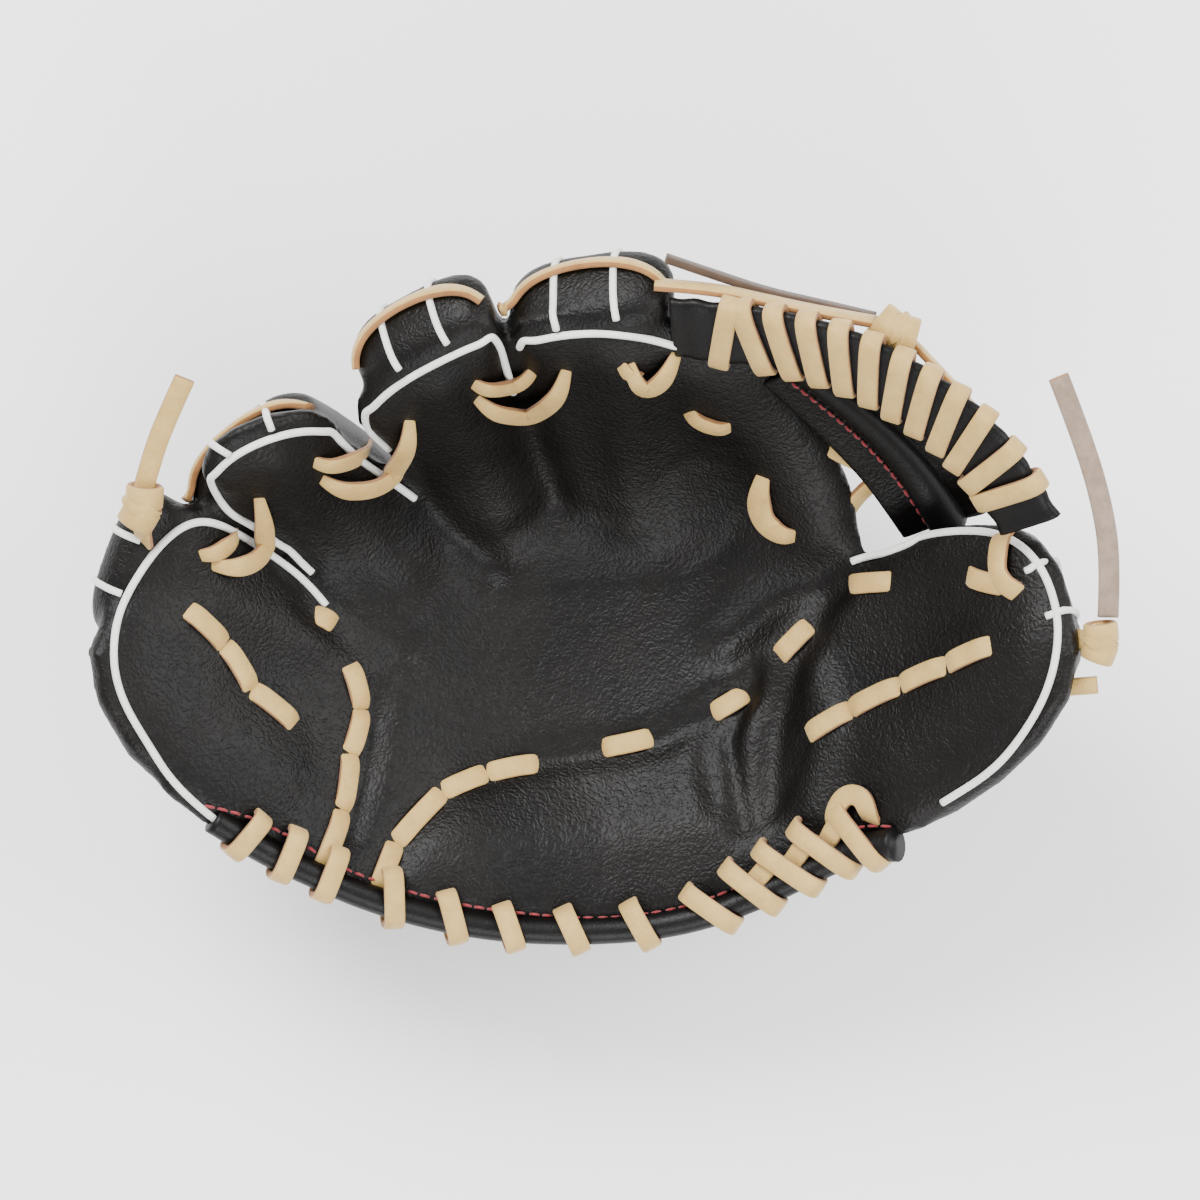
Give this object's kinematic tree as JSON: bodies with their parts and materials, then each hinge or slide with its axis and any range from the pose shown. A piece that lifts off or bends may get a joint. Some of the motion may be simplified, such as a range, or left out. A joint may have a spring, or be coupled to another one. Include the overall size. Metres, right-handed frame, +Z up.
{
  "type": "baseball glove",
  "caption": "Right-hand infielder's baseball glove lying on its back, pocket up, with laced finger stalls, a single-post web and loose lace ends.",
  "frame": {"origin": "middle of the back of the hand, on the plane that the glove lies on", "axes": "+Z up out of the pocket, +Y towards the fingertips, +X towards the thumb"},
  "size_m": [0.2735, 0.1874, 0.1318],
  "materials": {
    "shell_leather": "black pebbled steerhide, satin, soft creases",
    "lining_leather": "soft black lining leather, matte",
    "lace": "blonde rawhide lace, smooth face, suede edges",
    "piping": "off-white rolled piping, satin",
    "felt": "pressed wool felt padding",
    "stay": "thin moulded stiffener, matte"
  },
  "bodies": {
    "palm": {"palm_leather": "shell_leather", "palm_felt": "felt", "palm_liner": "lining_leather", "index_stall": "shell_leather", "middle_stall": "shell_leather", "ring_stall": "shell_leather", "pinky_stall": "shell_leather", "finger_felts": "felt", "pinky_heel_pad": "felt", "pinky_back": "shell_leather", "pinky_stay": "stay", "pinky_loop": "lining_leather", "back_panel": "shell_leather", "wrist_strap": "shell_leather", "strap_lining": "lining_leather", "strap_lacing": "lace", "heel_binding": "shell_leather", "heel_lacing": "lace", "pinky_crease_lacing": "lace", "palm_lacing": "lace", "pinky_face_lacing": "lace", "finger_crotch_lacing": "lace", "fingertip_lacing": "lace", "index_piping": "piping", "middle_piping": "piping", "ring_piping": "piping", "pinky_piping": "piping", "finger_welts": "piping", "web_bar": "shell_leather", "web_post": "shell_leather", "web_ridge": "shell_leather", "web_bar_lacing": "lace", "web_tie_lacing": "lace", "web_edge_lacing": "lace", "web_knot": "lace", "web_lace_tail_long": "lace", "web_lace_tail_short": "lace", "pinky_knot": "lace", "pinky_lace_tail": "lace"},
    "thumb": {"thumb_leather": "shell_leather", "thumb_stall": "shell_leather", "thumb_felt": "felt", "thumb_heel_pad": "felt", "thumb_back": "shell_leather", "thumb_stay": "stay", "thumb_loop": "lining_leather", "thumb_binding": "shell_leather", "thumb_face_lacing": "lace", "thumb_crotch_lacing": "lace", "thumb_heel_lacing": "lace", "thumb_tip_lacing": "lace", "thumb_piping": "piping", "thumb_welts": "piping", "thumb_knot": "lace", "thumb_lace_tail": "lace"}
  },
  "joints": [
    {"name": "thumb_fold", "type": "hinge", "parent": "palm", "child": "thumb", "pos_m": [0.0485, -0.0755, 0.069], "axis": [-0.2584, -0.966, 0], "range_deg": [0, 30], "deforming": ["web_bar", "web_post", "web_ridge", "web_bar_lacing", "web_tie_lacing", "web_knot", "web_lace_tail_long", "web_lace_tail_short", "strap_lacing"]}
  ]
}
